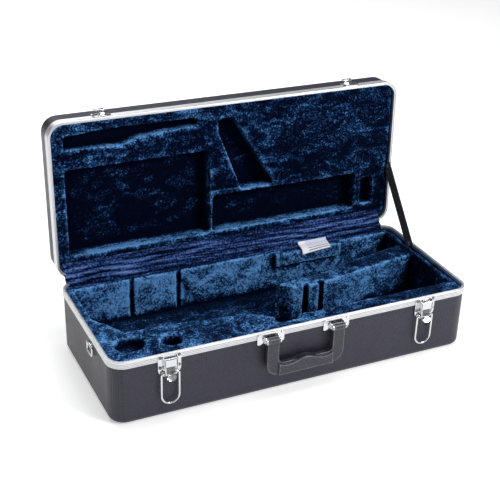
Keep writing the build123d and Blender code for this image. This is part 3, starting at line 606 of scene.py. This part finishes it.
# The folds wander and swell along the case, and a finer ripple runs across them.
for i in range(cover_columns + 1):
    x = cover_left + (cover_right - cover_left) * i / cover_columns
    wander = 1.3 * math.sin(x / 61 + fold_drift[0]) + 0.8 * math.sin(x / 23 + fold_drift[1])
    strength = 0.75 + 0.35 * math.sin(x / 97 + fold_drift[2])
    for j in range(cover_rows + 1):
        s = j / cover_rows
        run = s * cover_runs[-1]
        y, z = on_line(cover_line, cover_runs, run)
        next_y, next_z = on_line(cover_line, cover_runs, min(run + 0.5, cover_runs[-1]))
        dy, dz = next_y - y, next_z - z
        size = math.hypot(dy, dz) or 1.0
        loose = math.sin(math.pi * min(1.0, max(0.0, (s - cover_glued) / cover_slack))) ** 0.7
        fold = strength * math.sin((run + 2.5 * wander) * 2 * math.pi / cover_fold_pitch)
        fold += 0.25 * math.sin((run - wander) * 2 * math.pi / cover_ripple_pitch + x / 40)
        push = cover_fold_height * loose * (fold + 0.9)
        cover_points.append((
            x * mm, (y - dz / size * push) * mm, (rim + z + dy / size * push) * mm
        ))
cover_mesh = sheeted("hinge_cloth", cover_points, cover_columns, cover_rows)
cover_mesh.shade_smooth()
# Painted light on the folds: the crest mark lightens their crests and darkens the valleys between.
cover_crest_reach = 10
marked_for_painted_light(cover_mesh, cover_crest_reach)
hinge_cloth = bpy.data.objects.new("hinge_cloth", worked(
    "hinge_cloth", cover_mesh, ("SOLIDIFY", {"thickness": 0.0009, "offset": 0.0})
))
bpy.context.collection.objects.link(hinge_cloth)
coat(hinge_cloth, violet_plush)
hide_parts("hinge_cover")
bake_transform(hinge_cloth)

# The stay strap: flat woven webbing that stops the lid. A flat rivet through a washer holds each
# end to the inside of a valance.
webbing, webbing_shader = finish("woven_grey_webbing", (0.035, 0.034, 0.038), roughness=0.7)
webbing_shader.inputs["Sheen Weight"].default_value = 0.15
webbing_chart = add(webbing, "ShaderNodeUVMap")
webbing_ribs = add(webbing, "ShaderNodeTexWave", Scale=210.0, Distortion=0.4)
webbing_ribs.bands_direction = "Y"
join(webbing, webbing_chart, "UV", webbing_ribs, "Vector")
webbing_yarns = add(webbing, "ShaderNodeTexWave", Scale=190.0, Distortion=0.4)
webbing_yarns.bands_direction = "X"
join(webbing, webbing_chart, "UV", webbing_yarns, "Vector")
webbing_weave = add(webbing, "ShaderNodeMix", Factor=0.5)
join(webbing, webbing_ribs, "Fac", webbing_weave, "A")
join(webbing, webbing_yarns, "Fac", webbing_weave, "B")
coloured(webbing, webbing_shader, webbing_weave, "Result", [
    (0.2, (0.018, 0.017, 0.020)), (0.75, (0.055, 0.052, 0.058)),
])
relief(webbing, webbing_shader, webbing_weave, "Result", strength=0.6, depth=0.0005)


def charted(mesh, name, places):
    """A chart that gives each point of a mesh its place on the flat sheet."""
    chart = mesh.uv_layers.new(name=name)
    for loop in mesh.loops:
        chart.data[loop.index].uv = places[loop.vertex_index]


strap_end_x, strap_plane_x, strap_bow = 0.402, 0.40275, 0.0003
strap_width, strap_tail, strap_corner, strap_steps = 0.030, 0.009, 0.004, 90
strap_sides = (-1.0, -0.8, 0.0, 0.8, 1.0)
strap_foot = Vector((strap_end_x, 0.066, rim * mm - 0.0045))
strap_head = hinge_line + Matrix.Rotation(-lid_open, 3, "X") @ (
    Vector((strap_end_x, 0.035, rim * mm + 0.0048)) - hinge_line
)
strap_run = strap_head - strap_foot
strap_run.x = 0.0
strap_span = strap_run.length
strap_way = strap_run.normalized()
strap_side = Vector((0, -strap_way.z, strap_way.y))
strap_points, strap_places = [], []
for k in range(strap_steps + 1):
    run = -strap_tail + (strap_span + 2 * strap_tail) * k / strap_steps
    edge = min(run + strap_tail, strap_span + strap_tail - run, strap_corner)
    trim = strap_corner - math.sqrt(max(0.0, strap_corner ** 2 - (strap_corner - edge) ** 2))
    for side in strap_sides:
        bow = strap_bow * (1 - side * side)
        place = strap_foot + strap_way * run + strap_side * side * (strap_width / 2 - trim)
        strap_points.append((strap_plane_x - bow, place.y, place.z))
        strap_places.append((side * strap_width / 2, run))
strap_mesh = sheeted("stay_webbing", strap_points, strap_steps, len(strap_sides) - 1)
charted(strap_mesh, "weave", strap_places)
strap_mesh.shade_smooth()
stay_webbing = bpy.data.objects.new("stay_webbing", worked(
    "stay_webbing", strap_mesh, ("SOLIDIFY", {"thickness": 0.0013, "offset": 0.0})
))
bpy.context.collection.objects.link(stay_webbing)
coat(stay_webbing, webbing)
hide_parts("stay_strap")
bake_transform(stay_webbing)

# Three rear hinges, whose pressed leaves turn on a pin and are riveted to the valances. They are
# zinc-plated steel, as are their rivets and the stay strap's rivets and washers.
plated, plated_shader = finish(
    "zinc_plated_steel", (0.62, 0.62, 0.63), roughness=0.35, metallic=1.0
)
plated_bloom = clouds(plated, Scale=120.0, Detail=5.0)
glossed(plated, plated_shader, plated_bloom, 0.3, 0.7, smooth=0.25, rough=0.45)
relief(plated, plated_shader, plated_bloom, "Fac", strength=0.1, depth=0.0002)


def eased(name, nodes, body, material, radius):
    """Nodes as one piece with its sharp edges broken."""
    merged = bmesh.new()
    for node in nodes:
        merged.from_mesh(solid_copy(node))
    mesh = bpy.data.meshes.new(name)
    merged.to_mesh(mesh)
    merged.free()
    broken = worked(name, mesh, ("BEVEL", {
        "width": radius, "segments": 2, "limit_method": "ANGLE", "angle_limit": math.radians(40),
        "use_clamp_overlap": True,
    }))
    broken.shade_smooth()
    broken.set_sharp_from_angle(angle=math.radians(35))
    made = piece(name, broken, body)
    coat(made, material)
    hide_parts(*nodes)


for side in ("left", "centre", "right"):
    eased(f"hinge_body_leaf_{side}", [f"hinge_leaf_lower_{side}", f"hinge_pin_{side}"],
          "case_body", plated, radius=0.00035)
    eased(f"hinge_lid_leaf_{side}", [f"hinge_leaf_upper_{side}"],
          "lid", plated, radius=0.00035)
for end in ("lower", "upper"):
    for node in (f"hinge_rivets_{end}", f"strap_washer_{end}", f"strap_rivet_{end}"):
        coat(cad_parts[node], plated)

# A white slip, folded and sewn to the cloth, whose free end curls over the edge of the padding. It
# carries nothing, and two creases run along it near the free end, where it was folded; each crease
# holds a painted shadow. The slip is darker and bluer towards its sewn end.
tag_paper, tag_shader = finish("white_slip", (0.94, 0.94, 0.97), roughness=0.6)
tag_chart = add(tag_paper, "ShaderNodeUVMap")
tag_fibres = clouds(tag_paper, tag_chart, "UV", Scale=420.0, Detail=4.0)
tag_shades = shades(tag_paper, tag_fibres, "Fac", [
    (0.3, (0.86, 0.86, 0.90)), (0.6, (0.95, 0.95, 1.0)),
])
tag_axes = add(tag_paper, "ShaderNodeSeparateXYZ")
join(tag_paper, tag_chart, "UV", tag_axes, "Vector")
# Painted shadow: near-black lines along the two creases, over a tone darker and bluer towards the
# sewn end.
tag_crease_shadows = shades(tag_paper, tag_axes, "Y", [
    (0.00, (0.70, 0.73, 0.90)), (0.50, (0.86, 0.88, 1.0)),
    (0.64, (1.0, 1.0, 1.0)), (0.69, (0.01, 0.01, 0.015)), (0.74, (1.0, 1.0, 1.0)),
    (0.80, (1.0, 0.98, 0.94)), (0.86, (0.01, 0.01, 0.01)), (0.91, (0.95, 0.95, 1.0)),
])
tag_shadow_reach = ranged(tag_paper, tag_axes, "X", 0.20, 0.27)
tag_shadowed = add(tag_paper, "ShaderNodeMix")
tag_shadowed.data_type = "RGBA"
tag_shadowed.blend_type = "MULTIPLY"
# A colour mix has several sockets of one name, so these are picked by their numbers.
tag_factor_in, tag_first_in, tag_second_in, tag_colour_out = 0, 6, 7, 2
join(tag_paper, tag_shades, "Color", tag_shadowed, tag_first_in)
join(tag_paper, tag_crease_shadows, "Color", tag_shadowed, tag_second_in)
join(tag_paper, tag_shadow_reach, "Result", tag_shadowed, tag_factor_in)
join(tag_paper, tag_shadowed, tag_colour_out, tag_shader, "Base Color")
relief(tag_paper, tag_shader, tag_fibres, "Fac", strength=0.2, depth=0.0003)

tag_line = [(165.0, 5.0), (162.5, -1.5), (158.5, -5.6), (150.0, -6.2), (141.0, -6.6),
            (134.5, -8.6), (130.5, -13.5), (128.5, -19.0)]
tag_runs = lengths(tag_line)
tag_columns, tag_rows, tag_width, tag_middle = 26, 36, 74.0, 194.0
tag_start, tag_reach, tag_taper = 0.13, 0.85, 0.16
tag_crease_places, tag_crease_half, tag_crease_depth = (0.69, 0.86), 0.03, 0.5
tag_bulge, tag_corner_lift, tag_corner_from, tag_slant, tag_clearance = 0.9, 2.2, 0.8, 3.0, 0.8
tag_points, tag_places = [], []
for i in range(tag_columns + 1):
    u = i / tag_columns
    reach = 1.0 - tag_taper * u
    for j in range(tag_rows + 1):
        v = j / tag_rows
        y, z = on_line(tag_line, tag_runs, (tag_start + tag_reach * v * reach) * tag_runs[-1])
        crease = sum(
            max(0.0, 1 - abs(v - crossing) / tag_crease_half) for crossing in tag_crease_places
        )
        curl = tag_bulge * math.sin(math.pi * u) * v
        curl += tag_corner_lift * max(0.0, v - tag_corner_from) * (1 - u)
        x = tag_middle + tag_width * (u - 0.5) - tag_slant * v
        height = rim + z + curl + tag_clearance - tag_crease_depth * crease
        tag_points.append((x * mm, (y - 0.4 * curl) * mm, height * mm))
        tag_places.append((u, v))
tag_mesh = sheeted("folded_slip", tag_points, tag_columns, tag_rows)
charted(tag_mesh, "slip", tag_places)
tag_mesh.shade_smooth()
folded_slip = piece("folded_slip", worked(
    "folded_slip", tag_mesh, ("SOLIDIFY", {"thickness": 0.0005, "offset": 0.0})
), "case_body")
coat(folded_slip, tag_paper)
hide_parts("folded_tag")

# Two latches, pressed from steel and chromed: a riveted plate with cheeks, a lever on a pin, and a
# wire bail that swings up over the hook on the lid. Their rivets are painted dark steel, as painted
# shade round them, and the lever's dish is painted darker chrome, as painted shade.
chrome, chrome_shader = finish("polished_chrome", (0.62, 0.63, 0.65), roughness=0.12, metallic=1.0)
chrome_haze = clouds(chrome, Scale=180.0, Detail=4.0)
glossed(chrome, chrome_shader, chrome_haze, 0.35, 0.7, smooth=0.07, rough=0.22)
relief(chrome, chrome_shader, chrome_haze, "Fac", strength=0.06, depth=0.0002)

# Painted shade: the rivet heads are dark steel, standing for the shadow round them.
rivet_shade_steel, rivet_shade_shader = finish(
    "rivet_steel_with_painted_shade", (0.20, 0.20, 0.21), roughness=0.4, metallic=1.0
)
rivet_shade_spots = clouds(rivet_shade_steel, Scale=400.0, Detail=3.0)
coloured(rivet_shade_steel, rivet_shade_shader, rivet_shade_spots, "Fac", [
    (0.35, (0.08, 0.08, 0.085)), (0.65, (0.30, 0.30, 0.31)),
])

# Darker chrome for the lever's dish: painted shade.
dish_shade_chrome, dish_shade_chrome_shader = finish(
    "chrome_with_painted_shade_in_the_dish", (0.13, 0.135, 0.14), roughness=0.3, metallic=1.0
)
dish_shade_mottle = clouds(dish_shade_chrome, Scale=150.0, Detail=4.0)
coloured(dish_shade_chrome, dish_shade_chrome_shader, dish_shade_mottle, "Fac", [
    (0.3, (0.09, 0.095, 0.10)), (0.7, (0.20, 0.205, 0.21)),
])


def round_bar(whole, centre, radius, length, segments):
    """A round bar lying along the case, added to a shape: its centre in metres, the rest in mm."""
    bmesh.ops.create_cone(
        whole, cap_ends=True, segments=segments, radius1=radius * mm, radius2=radius * mm,
        depth=length * mm,
        matrix=Matrix.Translation(centre) @ Matrix.Rotation(math.radians(90), 4, "Y"),
    )


def flap(name, node):
    """A lever pressed from sheet: a rolled barrel, a flat plate and a dished tip that flares out.

    The plate's side line is given as distance in from the lever's front and distance down it.
    """
    low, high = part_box(node)
    middle, top, front_face = (low[0] + high[0]) / 2, high[2], low[1]
    line = [(8.0, 3.0), (8.0, 17.5), (10.4, 20.5), (11.2, 24.0), (11.0, 29.0), (9.0, 35.5),
            (0.6, 46.6)]
    rows, columns = 46, 16
    plate_half, plate_drop = 11.6, 18
    tip_half, tip_drop, tip_length = 10.8, 38.0, 9.0
    dish_drops, dish_depths = (20.0, 27.0, 33.0, 40.0), (0.0, 2.6, 2.6, 0.5)
    runs = lengths(line)
    points = []
    for i in range(rows + 1):
        inward, drop = on_line(line, runs, runs[-1] * i / rows)
        half = plate_half if drop < plate_drop else tip_half
        if drop > tip_drop:
            rounded = (drop - tip_drop) * tip_half / tip_length
            half = math.sqrt(max(0.3, tip_half ** 2 - rounded ** 2))
        dish = float(np.interp(drop, dish_drops, dish_depths))
        for j in range(columns + 1):
            u = 2 * j / columns - 1
            inset = inward - dish * u * u * half / tip_half
            points.append((middle + u * half * mm, front_face + inset * mm, top - drop * mm))
    sheet = sheeted(name, points, rows, columns)
    # Faces across the dish take the darker chrome, as painted shade.
    dish_shade_from, dish_shade_to, dish_shade_half = 18.5, 33.5, 9.2
    for face in sheet.polygons:
        drop = (top - face.center.z) / mm
        off_middle = abs(face.center.x - middle)
        face.material_index = int(
            dish_shade_from < drop < dish_shade_to and off_middle < dish_shade_half * mm
        )
    pressed = worked(name, sheet, ("SOLIDIFY", {"thickness": 0.0014, "offset": 0.0}))
    whole = bmesh.new()
    whole.from_mesh(pressed)
    barrel_in, barrel_drop, barrel_radius, barrel_length = 10.25, 3.0, 3.0, 24.8
    cheek_out, cheek_in, cheek_drop, cheek_depth, cheek_height = 11.75, 10.2, 24.0, 5.6, 16.0
    lug_in, lug_drop, lug_radius, steel = 11.25, 33.0, 4.4, 1.4
    round_bar(
        whole, (middle, front_face + barrel_in * mm, top - barrel_drop * mm),
        barrel_radius, barrel_length, segments=32,
    )
    for s in (-1, 1):
        x = middle + s * cheek_out * mm
        round_bar(
            whole, (x, front_face + lug_in * mm, top - lug_drop * mm), lug_radius, steel,
            segments=28,
        )
        bmesh.ops.create_cube(whole, size=mm, matrix=Matrix.Translation((
            x, front_face + cheek_in * mm, top - cheek_drop * mm
        )) @ Matrix.Diagonal((steel, cheek_depth, cheek_height, 1.0)))
    whole.to_mesh(pressed)
    whole.free()
    pressed.shade_smooth()
    pressed.set_sharp_from_angle(angle=math.radians(40))
    return pressed


for side in ("left", "right"):
    eased(f"latch_plate_{side}", [f"latch_base_{side}"],
          "case_body", chrome, radius=0.0004)
    lever = flap(f"latch_flap_{side}", f"latch_lever_{side}")
    latch_flap = piece(f"latch_flap_{side}", lever, f"lever_{side}")
    latch_flap.data.materials.append(chrome)
    latch_flap.data.materials.append(dish_shade_chrome)
    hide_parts(f"latch_lever_{side}")
    eased(f"latch_catch_{side}", [f"strike_plate_{side}"],
          "lid", chrome, radius=0.0004)
    for node in (f"latch_bail_{side}", f"latch_pin_{side}"):
        coat(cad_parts[node], chrome)
    for node in (f"latch_rivets_{side}", f"strike_rivets_{side}"):
        coat(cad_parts[node], rivet_shade_steel)

# The handle: one moulding of black plastic with finger waves along its grip, on two pins that
# chromed brackets carry under the rim.
handle_plastic, handle_shader = finish(
    "satin_black_moulding", (0.03, 0.03, 0.038), roughness=0.33
)
handle_shader.inputs["Specular IOR Level"].default_value = 0.45
handle_grain = clouds(handle_plastic, Scale=700.0, Detail=3.0)
# Painted highlight: the handle's edges and wave tops are painted lighter by the crest mark, up to
# the ramp's pale top stop.
handle_edges = add(handle_plastic, "ShaderNodeAttribute")
handle_edges.attribute_name = "painted_crest_and_hollow_light"
handle_edge_highlight_gain, handle_crest_reach = 1.7, 8
handle_edge_highlight = scaled_sum(
    handle_plastic, handle_edges, "Fac", handle_edge_highlight_gain, handle_grain, "Fac"
)
coloured(handle_plastic, handle_shader, handle_edge_highlight, "Value", [
    (0.25, (0.010, 0.010, 0.015)), (0.60, (0.027, 0.027, 0.040)), (0.95, (0.26, 0.26, 0.30)),
])
relief(handle_plastic, handle_shader, handle_grain, "Fac", strength=0.3, depth=0.0003)
grip = piece("handle_moulding", marked_for_painted_light(worked(
    "handle_moulding", solid_copy("handle"),
    ("REMESH", {"mode": "VOXEL", "voxel_size": 0.0011, "use_smooth_shade": True}),
    ("SMOOTH", {"factor": 0.5, "iterations": 6}),
), handle_crest_reach), "carry_handle")
coat(grip, handle_plastic)
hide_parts("handle")
for side in ("left", "right"):
    eased(f"handle_bearer_{side}", [f"handle_bracket_{side}"],
          "case_body", chrome, radius=0.0005)
    for node in (f"handle_pin_{side}", f"handle_rivets_{side}"):
        coat(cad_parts[node], chrome)

# Two rings for a carrying strap, bent from chromed wire. Each hangs from a rolled keeper that is
# riveted to one end of the bottom shell.
for side in ("left", "right"):
    eased(f"ring_holder_{side}", [f"ring_keeper_{side}"],
          "case_body", chrome, radius=0.0003)
    for node in (f"strap_ring_{side}", f"ring_rivets_{side}"):
        coat(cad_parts[node], chrome)
